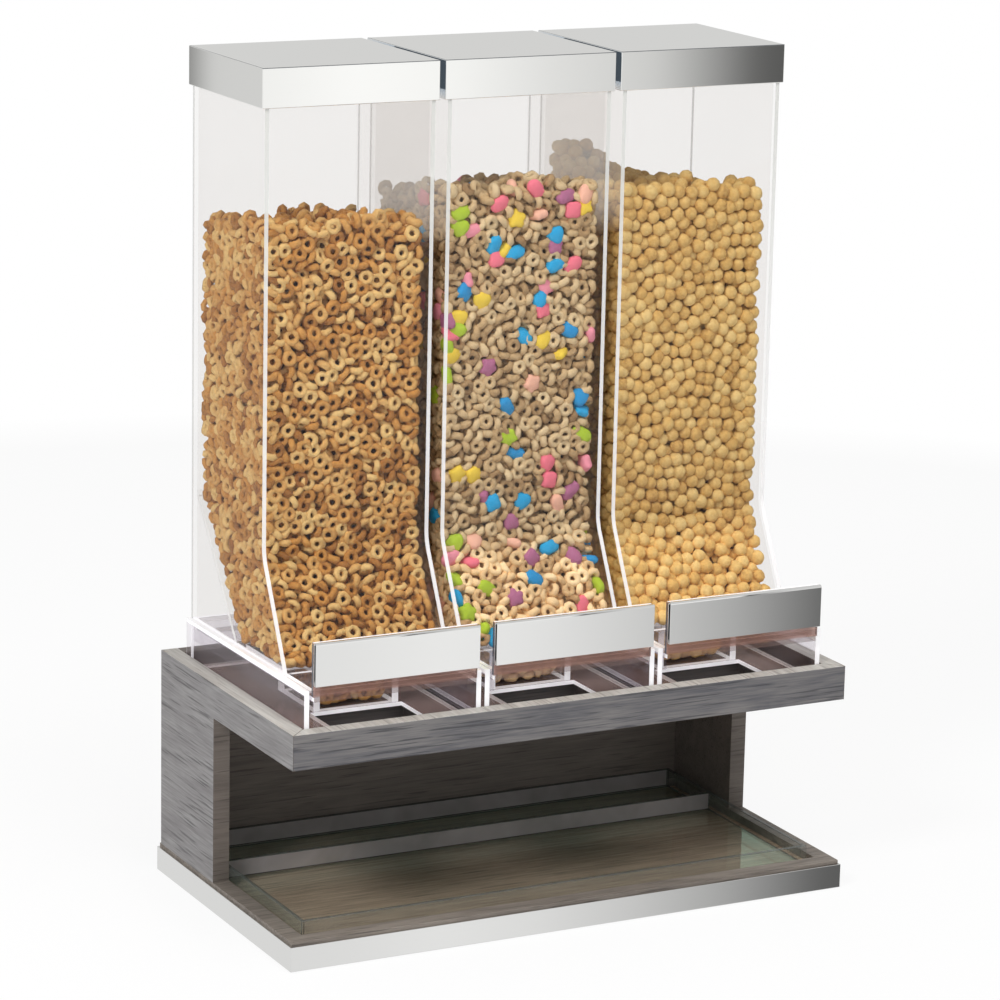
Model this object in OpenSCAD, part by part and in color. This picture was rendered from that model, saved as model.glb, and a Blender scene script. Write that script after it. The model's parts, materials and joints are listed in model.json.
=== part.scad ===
// Gravity bulk food bin: three clear bins side by side on a wood and steel stand.
// Each bin empties through a slide that is pulled forward by its front panel.
// X runs across the bins, Y from the front to the back, Z up, in millimetres.
// The origin lies on the table, under the middle of the base.

/* [Stand] */
// Width of the wood stand
stand_w = 440; // [410:1:500]
// Depth of the base board
base_d = 236; // [230:1:270]
// Thickness of the base board
base_h = 18.3; // [16:0.1:25]
// Depth of the shelf that the bins stand in
shelf_d = 233; // [228:1:250]
// Height of the shelf rails
rail_h = 25.4; // [22:0.1:30]
// Clear height between the base board and the shelf
bay_h = 122.7; // [100:0.1:180]
// Depth of the column that carries the shelf
column_d = 96.5; // [80:0.5:120]
// Thickness of the wood panels
panel_t = 12.7; // [11:0.1:14]
// How far the column stays in front of the back of the base
rear_inset = 2; // [1:0.5:6]

/* [Base] */
// Height of the rubber feet
foot_h = 3; // [2:0.5:6]
// Diameter of the rubber feet
foot_d = 20; // [14:1:26]
// How far the feet stand in from the edges of the base board
foot_inset = 22; // [16:1:40]
// Thickness of the steel band around the base
band_t = 1.6; // [1:0.1:2.5]
// Height of the steel band
band_h = 17.8; // [12:0.1:18]
// How far the band stays below the top of the base board
band_drop = 2.9; // [2:0.1:5]
// Depth of the recess that the tray lies in
recess_h = 6.3; // [3:0.1:9]
// Shank diameter of the screws under the column
screw_d = 4.5; // [3.5:0.1:5]
// Length of the screws under the column
screw_l = 40; // [25:1:50]
// Head diameter of the screws under the column
screw_head_d = 8.6; // [7:0.1:10]

/* [Tray] */
// Height of the tray walls
tray_h = 15.4; // [10:0.1:25]
// Thickness of the tray walls
tray_t = 3; // [2:0.1:4]
// Thickness of the tray floor
tray_floor_t = 2.5; // [2:0.1:4]
// Play of the tray from side to side in its recess
tray_side_play = 6.6; // [1:0.1:8]
// Play of the tray from front to back in its recess
tray_end_play = 2; // [1:0.1:5]
// How far the tray lies left of the middle of its recess
tray_shift = 2.6; // [0:0.1:2.8]
// Distance from the back of the tray to its cross wall
tray_cross_y = 65; // [40:1:90]

/* [Bins] */
// Gap between neighbouring bins
bin_gap = 2.8; // [2:0.1:5]
// Gap between the outer bins and the sides of the shelf
bin_end_gap = 1.4; // [0.8:0.1:4]
// Gap in front of the bins
bin_front_gap = 0.5; // [0.4:0.1:2]
// Gap behind the bins
bin_rear_gap = 1.1; // [0.5:0.1:3]
// Thickness of the channel side walls and back wall
cheek_t = 3.8; // [3:0.1:5]
// Height of the channel under the hopper
channel_h = 38.6; // [34:0.1:48]
// Thickness of the channel floor
floor_t = 3; // [2.5:0.1:4]

/* [Hopper] */
// Thickness of the hopper sheet
hopper_t = 3; // [2.5:0.1:4]
// Depth of the hopper, outside
hopper_d = 124.6; // [110:0.1:128]
// Height of the hopper above the channel
hopper_h = 414.6; // [320:0.1:480]
// How far the hopper stays inside the channel at each side
hopper_inset = 3.4; // [2.6:0.1:3.8]
// How far the hopper stays in front of the back of the channel
hopper_rear_inset = 0.9; // [0.4:0.1:1.2]
// Height of the bend in the front wall above the channel
bend_h = 75.4; // [50:0.1:110]
// How far the front wall leans forward below the bend
chute_reach = 38.3; // [25:0.1:40]
// Radius of the bend in the front wall
bend_r = 32; // [10:1:60]
// Slope of the ramp at the back of the hopper, in degrees
ramp_angle = 53; // [45:1:60]
// Thickness of the ramp
ramp_t = 3; // [2.5:0.1:4]

/* [Lid] */
// Height of the lid skirt
lid_h = 27.7; // [18:0.1:40]
// Thickness of the lid sheet
lid_t = 1; // [0.8:0.1:1.5]
// Gap between the hopper and the lid skirt at each side
lid_side_gap = 1.65; // [1:0.05:2]
// Gap between the hopper and the lid skirt in front and behind
lid_end_gap = 0.35; // [0.3:0.05:1]
// Height of the frame under the lid that centres it in the hopper
liner_h = 12; // [6:0.5:25]
// Thickness of the frame under the lid
liner_t = 3; // [2:0.1:5]
// Gap between the frame under the lid and the hopper
liner_gap = 0.6; // [0.4:0.1:1.5]

/* [Slide] */
// Space left in the channel behind the slide
slide_spare = 15.4; // [6:0.1:30]
// Width of the measure inside
meter_w = 56; // [40:1:80]
// Wall of the measure
meter_t = 5; // [3:0.1:6]
// Thickness of the slide plate
slide_t = 3.6; // [3:0.1:4.5]
// Width of the guide rails beside the slide
rail_w = 3.6; // [3:0.1:5]
// Height of the guide rails
guide_h = 16.4; // [12:0.1:20]
// Depth of the groove in the guide rails
groove_d = 1.8; // [1.2:0.1:2]
// Thickness of the plate that closes the channel above the slide
cover_t = 3.5; // [3:0.1:5]
// How much longer the throat is than the measure
throat_extra = 12; // [6:0.5:20]
// Width of the cover plate left at each side of the throat
throat_edge = 4.3; // [2:0.1:20]
// Width of the drop hole in the channel floor
hole_w = 71; // [60:1:84]
// Depth of the bar that stops the slide
stop_d = 5.5; // [4:0.1:7]
// Height of the bar that stops the slide
stop_h = 6; // [4:0.1:8]

/* [Front panel] */
// Thickness of the front panel
front_t = 3; // [2.5:0.1:4]
// Height of the front panel above the slide
front_h = 38.6; // [34:0.1:60]
// How far the front panel stays inside the channel at each side
front_inset = 5; // [3:0.1:8]
// Height of the label holder
holder_h = 31; // [25:0.1:36]
// Thickness of the label holder sheet
holder_t = 0.8; // [0.6:0.1:1.2]
// Width of the slot for the label
slot_w = 2.2; // [1.5:0.1:3]
// Distance from the lower edge of the front panel to the label holder
holder_rise = 8.2; // [4:0.1:12]

/* [Fits] */
// Gap under a piece that lies loose on another
seat_gap = 0.3; // [0.2:0.05:0.4]
// Running gap around the slide
slide_gap = 0.3; // [0.3:0.05:0.5]
// Gap around the shanks of the screws
screw_gap = 0.05; // [0.04:0.01:0.1]
// Land that the slide keeps between the throat and the measure
seal_l = 3; // [2:0.5:5]
// Land between the throat and the foot of the ramp
ramp_land = 3.8; // [2:0.1:6]
// Gap between the drop hole and the opening in the shelf below it
drop_gap = 2; // [1:0.5:5]

/* [Hidden] */
$fn = 48;
cut = 1;
bend_steps = 8;
BAYS = ["left", "middle", "right"];
STAND_PIECES = ["base_board", "band_front", "band_rear", "band_left", "band_right", "base_feet",
    "column_screws", "side_left", "side_right", "back_panel", "shelf_deck", "shelf_front_rail", "tray"];
BIN_PIECES = ["hopper", "ramp", "cheeks", "channel_floor", "channel_back", "guide_rails", "cover_plate",
    "stop_bar", "slide_plate", "measure", "front_panel", "label_holder", "lid", "lid_liner"];

// Levels, from the table up
base_z = foot_h;
base_top = base_z + base_h;
recess_z = base_top - recess_h;
shelf_z = base_top + bay_h;
shelf_top = shelf_z + rail_h;
deck_top = shelf_z + panel_t;
bin_z = deck_top + seat_gap;
floor_top = bin_z + floor_t;
channel_top = bin_z + channel_h;
cover_z = channel_top - cover_t;
slide_top = cover_z - 2 * slide_gap;
slide_z = slide_top - slide_t;
bend_z = channel_top + bend_h;
hopper_top = channel_top + hopper_h;
lid_top = hopper_top + seat_gap + lid_t;

// Depths, from the front to the back
column_back = base_d / 2 - rear_inset;
shelf_front = column_back - shelf_d;
shelf_in_front = shelf_front + panel_t;
column_front = column_back - column_d;
inner_back = column_back - panel_t;
recess_front = -base_d / 2 + panel_t;
bin_front = shelf_in_front + bin_front_gap;
bin_back = inner_back - bin_rear_gap;
hopper_back = bin_back - hopper_rear_inset;
hopper_front = hopper_back - hopper_d;
chute_front = hopper_front - chute_reach;
// The measure is as long as the channel allows, counted twice for the slide's travel and once for the throat
channel_l = bin_back - cheek_t - bin_front;
slide_lands = stop_d + slide_gap + 2 * meter_t + 3 * seal_l + throat_extra;
meter_l = (channel_l - slide_spare - slide_lands) / 3;
// The slide stops with the measure right over the drop hole
slide_travel = meter_l + meter_t;
meter_out_y = bin_front + stop_d + slide_gap;
meter_y = meter_out_y + slide_travel;
hole_y = meter_out_y + meter_t;
throat_y = meter_y + seal_l;
throat_back = throat_y + meter_l + throat_extra;
ramp_y = throat_back + ramp_land;
slide_back = throat_back + slide_travel + 2 * seal_l;
front_back_y = bin_front - slide_gap;
front_y = front_back_y - front_t;

// Widths
inner_w = stand_w - 2 * panel_t;
pitch = (inner_w - 2 * bin_end_gap + bin_gap) / len(BAYS);
bin_w = pitch - bin_gap;
channel_w = bin_w - 2 * cheek_t;
guide_w = channel_w - 2 * rail_w;
slide_w = guide_w + 2 * (groove_d - slide_gap);
hopper_w = bin_w - 2 * hopper_inset;
hopper_in_w = hopper_w - 2 * hopper_t;
front_w = bin_w - 2 * front_inset;
holder_d = slot_w + 2 * holder_t;

// A block centred across X, from y0 to y1 and from z0 to z1
module block(w, y0, y1, z0, z1) {
    translate([-w / 2, y0, z0]) cube([w, y1 - y0, z1 - z0]);
}

// A profile drawn as [y, z] points and run across X over a width of w, centred
module across(w) {
    translate([-w / 2, 0, 0]) rotate([90, 0, 90]) linear_extrude(w) children();
}

// A frame of wall t around a rectangle of w by d, drawn from its front left corner
module frame_2d(w, d, t) {
    difference() {
        square([w, d]);
        translate([t, t]) square([w - 2 * t, d - 2 * t]);
    }
}

// ---- Stand ----

module screw_places() {
    for (side = [-1, 1])
        for (share = [0.2, 0.5, 0.8])
            translate([side * (stand_w - panel_t) / 2, column_front + share * column_d, base_z]) children();
}

module screw_shape(gap) {
    cylinder(d = screw_d + 2 * gap, h = screw_l + gap);
    cylinder(d1 = screw_head_d + 2 * gap, d2 = screw_d + 2 * gap, h = (screw_head_d - screw_d) / 2);
}

// Board with a recess for the tray, open to the space inside the column
module base_board() {
    color("#8a8782") difference() {
        block(stand_w, -base_d / 2, base_d / 2, base_z, base_top);
        block(inner_w, recess_front, inner_back, recess_z, base_top + cut);
        screw_places() screw_shape(screw_gap);
    }
}

// One strip of the band along a side of length l, mitred at both ends
module band_strip(l) {
    translate([0, 0, base_top - band_drop - band_h]) linear_extrude(band_h)
        polygon([[-l / 2, 0], [l / 2, 0], [l / 2 + band_t, -band_t], [-l / 2 - band_t, -band_t]]);
}

module band_front() { color("#dcdcda") translate([0, -base_d / 2, 0]) band_strip(stand_w); }
module band_rear() { color("#dcdcda") translate([0, base_d / 2, 0]) rotate(180) band_strip(stand_w); }
module band_left() { color("#dcdcda") translate([-stand_w / 2, 0, 0]) rotate(-90) band_strip(base_d); }
module band_right() { color("#dcdcda") translate([stand_w / 2, 0, 0]) rotate(90) band_strip(base_d); }

// Four turned feet under the base board
module base_feet() {
    color("#26262a")
    for (side = [-1, 1])
        for (end = [-1, 1])
            translate([side * (stand_w / 2 - foot_inset), end * (base_d / 2 - foot_inset), 0])
                cylinder(d1 = foot_d - foot_h, d2 = foot_d, h = foot_h);
}

// Six countersunk screws that hold the column to the base
module column_screws() {
    color("#b8b8b6") screw_places() screw_shape(0);
}

// Side panel shaped like a 7: the column and the side of the shelf in one piece
module side_panel() {
    color("#8c8a86") difference() {
        translate([stand_w / 2 - panel_t / 2, 0, 0]) across(panel_t)
            polygon([[column_front, base_top], [column_back, base_top], [column_back, shelf_top],
                [shelf_front, shelf_top], [shelf_front, shelf_z], [column_front, shelf_z]]);
        // The front end is mitred to the front rail
        translate([0, 0, shelf_z - cut]) linear_extrude(rail_h + 2 * cut)
            polygon([[stand_w / 2, shelf_front], [stand_w / 2 + cut, shelf_front - cut],
                [inner_w / 2 - cut, shelf_front - cut], [inner_w / 2 - cut, shelf_in_front + cut]]);
        screw_places() screw_shape(screw_gap);
    }
}

module side_right() { side_panel(); }
module side_left() { mirror([1, 0, 0]) side_panel(); }

module back_panel() {
    color("#4a423c") block(inner_w, inner_back, column_back, base_top, shelf_top);
}

module shelf_front_rail() {
    color("#76767a") translate([0, 0, shelf_z]) linear_extrude(rail_h)
        polygon([[-stand_w / 2, shelf_front], [stand_w / 2, shelf_front],
            [inner_w / 2, shelf_in_front], [-inner_w / 2, shelf_in_front]]);
}

// Shelf floor with a drop opening under each bin
module shelf_deck() {
    color("#4c4642") difference() {
        block(inner_w, shelf_in_front, inner_back, shelf_z, deck_top);
        for (bay = [0 : len(BAYS) - 1])
            translate([bay_x(bay), 0, 0])
                block(hole_w + 2 * drop_gap, hole_y - drop_gap, hole_y + meter_l + drop_gap,
                    shelf_z - cut, deck_top + cut);
    }
}

// Clear crumb tray with a cross wall
module tray() {
    w = inner_w - tray_side_play;
    d = inner_back - recess_front - tray_end_play;
    y = recess_front + tray_end_play / 2;
    color("#c8c8cc", 0.5) translate([-w / 2 - tray_shift, y, recess_z + seat_gap]) {
        cube([w, d, tray_floor_t]);
        linear_extrude(tray_h) frame_2d(w, d, tray_t);
        translate([0, d - tray_cross_y - tray_t, 0]) cube([w, tray_t, tray_h]);
    }
}

// ---- Bins, each drawn about its own middle ----

function bay_x(bay) = (bay - (len(BAYS) - 1) / 2) * pitch;

// The wall of the front moved inward by t: its foot, the round bend and its top
function front_line(t) = let (lean = atan(chute_reach / bend_h), bend_mid_z = bend_z + bend_r * tan(lean / 2))
    [[chute_front + t / cos(lean), channel_top],
     for (step = [0 : bend_steps])
        let (turn = lean * (step / bend_steps - 1))
            [hopper_front - bend_r + (bend_r + t) * cos(turn), bend_mid_z + (bend_r + t) * sin(turn)],
     [hopper_front + t, hopper_top]];

// Bonded clear shell, open above and below, with a front that leans out over the slide
module hopper() {
    inner = front_line(hopper_t);
    color("#e8eef0", 0.35) difference() {
        across(hopper_w) polygon(concat(front_line(0), [[hopper_back, hopper_top], [hopper_back, channel_top]]));
        across(hopper_in_w) polygon(concat(
            [[inner[0].x - cut * chute_reach / bend_h, channel_top - cut]],
            [for (i = [1 : bend_steps + 1]) inner[i]],
            [[hopper_front + hopper_t, hopper_top + cut], [hopper_back - hopper_t, hopper_top + cut],
             [hopper_back - hopper_t, channel_top - cut]]));
    }
}

// Sloping plate that turns the back of the hopper into a chute
module ramp() {
    back = hopper_back - hopper_t;
    rise = (back - ramp_y) * tan(ramp_angle);
    drop = ramp_t / cos(ramp_angle);
    color("#e0e6ea", 0.35) across(hopper_in_w)
        polygon([[ramp_y, channel_top], [back, channel_top + rise], [back, channel_top + rise - drop],
            [ramp_y + drop / tan(ramp_angle), channel_top]]);
}

// Two side walls of the channel
module cheeks() {
    color("#eceef0", 0.4)
    for (side = [-1, 1])
        translate([side * (bin_w - cheek_t) / 2, 0, 0]) block(cheek_t, bin_front, bin_back, bin_z, channel_top);
}

module channel_back() {
    color("#eceef0", 0.4) block(channel_w, bin_back - cheek_t, bin_back, bin_z, channel_top);
}

// Floor of the channel with the drop hole near its front
module channel_floor() {
    color("#eceef0", 0.4) difference() {
        block(channel_w, bin_front, bin_back - cheek_t, bin_z, floor_top);
        block(hole_w, hole_y, hole_y + meter_l, bin_z - cut, floor_top + cut);
    }
}

// Two rails with a groove that the slide plate runs in
module guide_rails() {
    color("#dfe3e8", 0.4)
    for (side = [0, 1])
        mirror([side, 0, 0]) difference() {
            translate([(guide_w + rail_w) / 2, 0, 0])
                block(rail_w, bin_front, bin_back - cheek_t, channel_top - guide_h, channel_top);
            translate([guide_w / 2 - cut, bin_front - cut, slide_z - slide_gap])
                cube([groove_d + cut, bin_back - cheek_t - bin_front + 2 * cut, slide_t + 2 * slide_gap]);
        }
}

// Plate between the rails that closes the channel above the slide, all but the throat
module cover_plate() {
    color("#e6e0dc", 0.4) difference() {
        block(guide_w, bin_front, bin_back - cheek_t, cover_z, channel_top);
        block(guide_w - 2 * throat_edge, throat_y, throat_back, cover_z - cut, channel_top + cut);
    }
}

// Bar across the front of the channel floor, where the measure stops
module stop_bar() {
    color("#eceef0", 0.4) block(channel_w, bin_front, bin_front + stop_d, floor_top, floor_top + stop_h);
}

// ---- Slide ----

// Plate that runs in the rails and closes the throat when it is pulled out
module slide_plate() {
    color("#e4dcd6", 0.4) difference() {
        block(slide_w, front_y, slide_back, slide_z, slide_top);
        block(meter_w, meter_y + meter_t, meter_y + meter_t + meter_l, slide_z - cut, slide_top + cut);
    }
}

// Open box under the slide plate that carries one portion to the drop hole
module measure() {
    color("#f0f0f0", 0.5)
    translate([-meter_w / 2 - meter_t, meter_y, floor_top + slide_gap])
        linear_extrude(slide_z - floor_top - slide_gap)
            frame_2d(meter_w + 2 * meter_t, meter_l + 2 * meter_t, meter_t);
}

// Clear panel that is the handle of the slide
module front_panel() {
    color("#e8ecee", 0.4) block(front_w, front_y, front_back_y, slide_top, slide_top + front_h);
}

// Folded label holder: a leg on the panel, a round fold at the top and a plain front
module label_holder() {
    z = slide_top + holder_rise;
    fold_z = z + holder_h - holder_d / 2;
    y = front_y - holder_d;
    color("#c9cacb") across(front_w) {
        translate([y, z]) square([holder_t, fold_z - z]);
        translate([front_y - holder_t, z]) square([holder_t, fold_z - z]);
        translate([front_y - holder_d / 2, fold_z]) difference() {
            circle(d = holder_d);
            circle(d = slot_w);
            translate([-holder_d, -2 * holder_d]) square([2 * holder_d, 2 * holder_d]);
        }
        // A short lip under the leg holds the label up
        translate([front_y - holder_t - slot_w / 2, z]) square([slot_w / 2 + holder_t, holder_t]);
    }
}

// ---- Lid ----

// Steel cap that drops over the top of the hopper
module lid() {
    w = hopper_w + 2 * (lid_side_gap + lid_t);
    y0 = hopper_front - lid_end_gap - lid_t;
    y1 = hopper_back + lid_end_gap + lid_t;
    color("#cfcfcb") difference() {
        block(w, y0, y1, lid_top - lid_h, lid_top);
        block(w - 2 * lid_t, y0 + lid_t, y1 - lid_t, lid_top - lid_h - cut, lid_top - lid_t);
    }
}

// Clear frame under the lid that fits inside the hopper
module lid_liner() {
    inset = hopper_t + liner_gap;
    color("#e8eef0", 0.4)
    translate([-hopper_w / 2 + inset, hopper_front + inset, lid_top - lid_t - liner_h])
        linear_extrude(liner_h) frame_2d(hopper_w - 2 * inset, hopper_d - 2 * inset, liner_t);
}

base_board();
band_front();
band_rear();
band_left();
band_right();
base_feet();
column_screws();
side_left();
side_right();
back_panel();
shelf_deck();
shelf_front_rail();
tray();
for (bay = [0 : len(BAYS) - 1]) translate([bay_x(bay), 0, 0]) {
    hopper();
    ramp();
    cheeks();
    channel_floor();
    channel_back();
    guide_rails();
    cover_plate();
    stop_bar();
    slide_plate();
    measure();
    front_panel();
    label_holder();
    lid();
    lid_liner();
}
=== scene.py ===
import json
import math

import bmesh
import bpy
import numpy as np
from mathutils import Matrix, Vector, kdtree

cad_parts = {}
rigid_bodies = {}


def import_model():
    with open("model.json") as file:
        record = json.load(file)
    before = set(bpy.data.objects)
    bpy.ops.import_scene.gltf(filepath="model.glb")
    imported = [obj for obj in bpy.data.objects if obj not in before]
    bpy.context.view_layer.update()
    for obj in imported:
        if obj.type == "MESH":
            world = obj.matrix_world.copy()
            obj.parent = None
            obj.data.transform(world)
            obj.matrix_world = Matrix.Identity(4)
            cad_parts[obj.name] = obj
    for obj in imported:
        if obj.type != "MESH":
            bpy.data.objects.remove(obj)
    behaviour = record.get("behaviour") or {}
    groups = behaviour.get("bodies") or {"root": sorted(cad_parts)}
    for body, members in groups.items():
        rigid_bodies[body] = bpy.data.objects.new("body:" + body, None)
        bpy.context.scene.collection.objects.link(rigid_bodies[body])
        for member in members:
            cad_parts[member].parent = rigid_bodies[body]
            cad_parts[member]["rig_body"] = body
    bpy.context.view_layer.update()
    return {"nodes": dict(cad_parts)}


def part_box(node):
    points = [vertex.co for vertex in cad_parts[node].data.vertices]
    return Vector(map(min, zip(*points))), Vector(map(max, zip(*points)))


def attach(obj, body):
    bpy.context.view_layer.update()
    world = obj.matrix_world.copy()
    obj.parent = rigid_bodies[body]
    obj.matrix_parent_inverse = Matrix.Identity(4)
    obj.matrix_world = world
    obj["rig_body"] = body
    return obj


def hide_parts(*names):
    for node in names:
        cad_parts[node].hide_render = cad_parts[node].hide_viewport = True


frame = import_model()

# The looks of a gravity bulk food bin: grey wood, steel, clear acrylic and three kinds of cereal.
# Everything is in metres, X across the bins, Y from the front to the back, Z up.

BAYS = ("left", "middle", "right")
SEED = 7
# Height of the bend in the bins' fronts, and the walls of the hoppers and of the measures
BEND = 0.256
HOPPER_WALL = 0.003
MEASURE_WALL = 0.005

# ---- Small helpers ----


def srgb(red, green, blue):
    """A colour as a picture shows it, from 0 to 255, in the linear numbers that shaders take."""
    linear = [c / 255 / 12.92 if c < 10 else ((c / 255 + 0.055) / 1.055) ** 2.4 for c in (red, green, blue)]
    return (*linear, 1.0)


class Nodes:
    """A tree of shader nodes under construction, with short names for the nodes that it uses."""

    def __init__(self, tree):
        self.tree = tree

    def put(self, socket, value):
        if isinstance(value, bpy.types.NodeSocket):
            self.tree.links.new(value, socket)
        else:
            socket.default_value = value

    def node(self, kind, inputs=None, **settings):
        made = self.tree.nodes.new("ShaderNode" + kind)
        for name, value in settings.items():
            setattr(made, name, value)
        for name, value in (inputs or {}).items():
            self.put(made.inputs[name], value)
        return made

    def ramp(self, fac, *stops):
        """A colour ramp. Each stop is its position and a grey or a colour."""
        made = self.node("ValToRGB", {"Fac": fac})
        stripe = made.color_ramp.elements
        while len(stripe) < len(stops):
            stripe.new(1.0)
        for stop, (position, colour) in zip(stripe, stops):
            stop.position = position
            stop.color = colour if hasattr(colour, "__len__") else (colour, colour, colour, 1.0)
        return made.outputs["Color"]

    def mix(self, fac, one, other, way="MIX"):
        made = self.node("Mix", data_type="RGBA", blend_type=way)
        for index, value in ((0, fac), (6, one), (7, other)):
            self.put(made.inputs[index], value)
        return made.outputs[2]

    def math(self, operation, *values):
        return self.node("Math", dict(enumerate(values)), operation=operation).outputs["Value"]

    def rise(self, value, low, high, least=0.0, most=1.0):
        """From least to most while the value goes from low to high."""
        inputs = {"Value": value, "From Min": low, "From Max": high, "To Min": least, "To Max": most}
        return self.node("MapRange", inputs).outputs["Result"]

    def shade(self, fac, one, other):
        return self.node("MixShader", {0: fac, 1: one, 2: other}).outputs["Shader"]


class Paint(Nodes):
    """A material under construction. Its textures lie in the object's own space."""

    def __init__(self, name):
        self.material = bpy.data.materials.new(name)
        self.material.use_nodes = True
        super().__init__(self.material.node_tree)
        self.shader = self.tree.nodes["Principled BSDF"]
        self.output = self.tree.nodes["Material Output"]
        self.place = self.node("TexCoord").outputs["Object"]

    def by_height(self, low, high, least=0.0, most=1.0):
        """From least to most between two heights above the ground."""
        height = self.node("SeparateXYZ", {"Vector": self.place}).outputs["Z"]
        return self.rise(height, low, high, least, most)

    def stretched(self, axis, scale):
        """The place with its texture drawn out along one axis."""
        along = [1.0, 1.0, 1.0]
        along["XYZ".index(axis)] = scale
        return self.node("Mapping", {"Vector": self.place, "Scale": along}).outputs["Vector"]

    def noise(self, where, scale, detail=2.0, distortion=0.0, roughness=0.5):
        inputs = {"Vector": where, "Scale": scale, "Detail": detail, "Distortion": distortion,
                  "Roughness": roughness}
        return self.node("TexNoise", inputs).outputs["Fac"]

    def bump(self, height, strength, distance):
        inputs = {"Height": height, "Strength": strength, "Distance": distance}
        self.put(self.shader.inputs["Normal"], self.node("Bump", inputs).outputs["Normal"])

    def set(self, **values):
        for name, value in values.items():
            self.put(self.shader.inputs[name.replace("_", " ")], value)
        return self.material


# ---- Materials ----


def wood(name, along, light, dark, streak, figure=0.5):
    """Grey washed oak. along is the axis that the grain runs on, streak the colour of its pores."""
    paint = Paint(name)
    fine = paint.stretched(along, 0.035)
    broad = paint.stretched(along, 0.14)
    fibre = paint.noise(fine, 700, 3, 0.0, 0.6)
    pores = paint.noise(fine, 620, 2, 0.0, 0.5)
    cloud = paint.noise(broad, 75, 3, 1.2, 0.55)
    body = paint.ramp(paint.mix(figure, fibre, cloud), (0.36, dark), (0.62, light))
    dashes = paint.ramp(pores, (0.33, 1.0), (0.41, 0.0))
    colour = paint.mix(paint.math("MULTIPLY", dashes, 0.7), body, streak)
    paint.bump(paint.math("SUBTRACT", fibre, paint.math("MULTIPLY", dashes, 0.7)), 0.25, 0.0006)
    rough = paint.ramp(fibre, (0.3, 0.62), (0.7, 0.48))
    return paint.set(Base_Color=colour, Roughness=rough)


def steel(name, along, tone, smooth, brushing, glow=(0, 0, 0, 1)):
    """Stainless steel. Its brushing runs along one axis and only shifts gloss and tone a little. A faint
    glow stands for the light that reaches a narrow gap."""
    paint = Paint(name)
    scratch = paint.noise(paint.stretched(along, 0.01), 2600, 2, 0.0, 0.6)
    patch = paint.noise(paint.place, 14, 2)
    worn = tuple(c * (1 - brushing) for c in tone[:3]) + (1.0,)
    colour = paint.mix(paint.math("MULTIPLY", scratch, 0.8), tone, worn)
    uneven = paint.mix(0.35, scratch, patch)
    rough = paint.math("ADD", smooth, paint.math("MULTIPLY", uneven, brushing * 0.5))
    paint.bump(scratch, brushing * 0.12, 0.0001)
    return paint.set(Base_Color=colour, Metallic=1.0, Roughness=rough, Emission_Color=glow,
                     Emission_Strength=1.0)


def acrylic(name, tint, haze, haze_share, gloss=0.25, mirror=(1, 1, 1, 1), bloom=None):
    """Clear sheet: it lets light through with a slight tint and mirrors more of the room at a grazing look.
    With a bloom, its haze is painted light, a pale glow that starts at this height."""
    paint = Paint(name)
    facing = paint.node("LayerWeight", {"Blend": 0.5}).outputs["Facing"]
    shine = paint.math("MULTIPLY_ADD", paint.math("POWER", facing, 5.0), gloss, 0.007)
    smudge = paint.noise(paint.place, 22, 3, 0.5)
    dull = tuple(0.93 * c for c in mirror[:3]) + (1.0,)
    paint.set(Base_Color=paint.mix(smudge, dull, mirror), Metallic=1.0,
              Roughness=paint.math("MULTIPLY", smudge, 0.07))
    clear = paint.node("BsdfTransparent", {"Color": tint}).outputs["BSDF"]
    veil = paint.node("Emission" if bloom else "BsdfDiffuse", {"Color": haze}).outputs[0]
    share = paint.math("MULTIPLY", paint.ramp(smudge, (0.3, 0.7), (0.7, 1.0)), haze_share)
    if bloom:
        share = paint.math("MULTIPLY", share, paint.by_height(bloom, bloom + 0.02))
    whole = paint.shade(shine, paint.shade(share, clear, veil), paint.shader.outputs["BSDF"])
    paint.put(paint.output.inputs["Surface"], whole)
    return paint.material


def acrylic_edge(name, high, low, low_z, high_z, clear=0.15, glow=0.0):
    """Polished cut edge of a clear sheet, its tone the painted highlights and shade that an edge shows by
    the light it
    pipes and mirrors: low at the foot and high at the top, with a glow of the light that the sheet gathers."""
    paint = Paint(name)
    wave = paint.noise(paint.place, 60, 2)
    tone = paint.mix(paint.by_height(low_z, high_z), low, high)
    colour = paint.mix(paint.math("MULTIPLY", wave, 0.12), tone, (0.45, 0.45, 0.46, 1))
    return paint.set(Base_Color=colour, Roughness=0.12, Alpha=1 - clear, Emission_Color=(1, 1, 1, 1),
                     Emission_Strength=glow)


def rubber(name, tone):
    paint = Paint(name)
    speck = paint.noise(paint.place, 900, 3)
    paint.bump(speck, 0.2, 0.0003)
    return paint.set(Base_Color=paint.mix(speck, tone, (0.05, 0.05, 0.052, 1)), Roughness=0.8)


def cereal(name, light, mid, dark, speck_scale=420.0, relief=0.0009, own_share=0.62, painted_light_below=1.0):
    """Toasted grain: each piece has its own tone, with a mottled, slightly sugared surface. Below the bend
    of the front it is painted lighter by a factor, as light that falls there."""
    paint = Paint(name)
    own = paint.node("NewGeometry").outputs["Random Per Island"]
    mottle = paint.noise(paint.place, speck_scale, 4, 0.4, 0.6)
    broad = paint.noise(paint.place, 55, 2)
    tone = paint.math("ADD", paint.math("MULTIPLY", own, own_share),
                      paint.math("MULTIPLY", mottle, 1 - own_share))
    tone = paint.math("ADD", paint.math("MULTIPLY", tone, 0.8), paint.math("MULTIPLY", broad, 0.2))
    colour = paint.ramp(tone, (0.16, dark), (0.42, mid), (0.72, light))
    # Painted light: below the bend the grain is lighter.
    below = paint.by_height(BEND - 0.01, BEND + 0.01, 1.0, 0.0)
    colour = paint.mix(below, colour, (painted_light_below, painted_light_below, painted_light_below, 1), "MULTIPLY")
    paint.bump(paint.noise(paint.place, 780, 3, 0.2, 0.6), 0.6, relief)
    return paint.set(Base_Color=colour, Roughness=0.72)


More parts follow.
